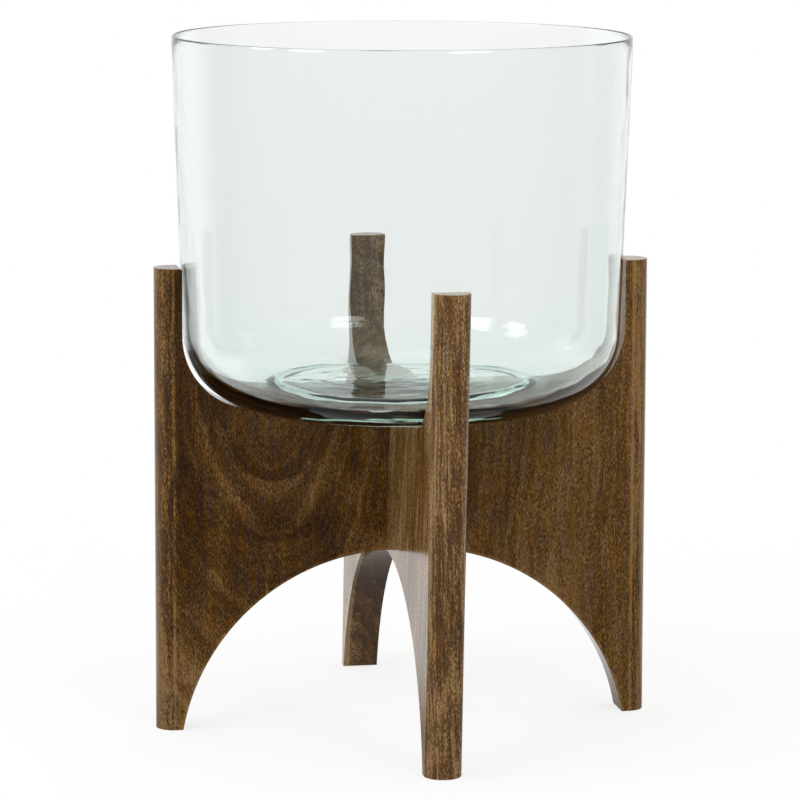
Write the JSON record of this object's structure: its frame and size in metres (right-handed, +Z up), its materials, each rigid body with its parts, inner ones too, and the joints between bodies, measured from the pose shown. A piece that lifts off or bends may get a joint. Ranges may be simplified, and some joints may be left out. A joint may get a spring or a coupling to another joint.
{
  "type": "footed vase",
  "caption": "Wide clear glass vessel with a rounded thick base, standing in a cross stand of two halved wooden boards with arched feet; the glass lifts out.",
  "frame": {"origin": "on the floor, under the middle of the crossing of the two boards", "axes": "+Z up through the middle of the vessel, +X along the lower board, +Y along the upper board towards the back"},
  "size_m": [0.276, 0.276, 0.3813],
  "materials": {
    "wood_lower": "satin stain, darker board",
    "wood_upper": "satin stain, lighter board",
    "clear_glass": "clear, faint grey-green"
  },
  "bodies": {
    "stand": {"lower_board": "wood_lower", "upper_board": "wood_upper"},
    "vessel": {"glass_vessel": "clear_glass"}
  },
  "joints": [
    {"name": "vessel_lift", "type": "slide", "parent": "stand", "child": "vessel", "axis": [0, 0, 1], "range_m": [0, 0.09]}
  ]
}
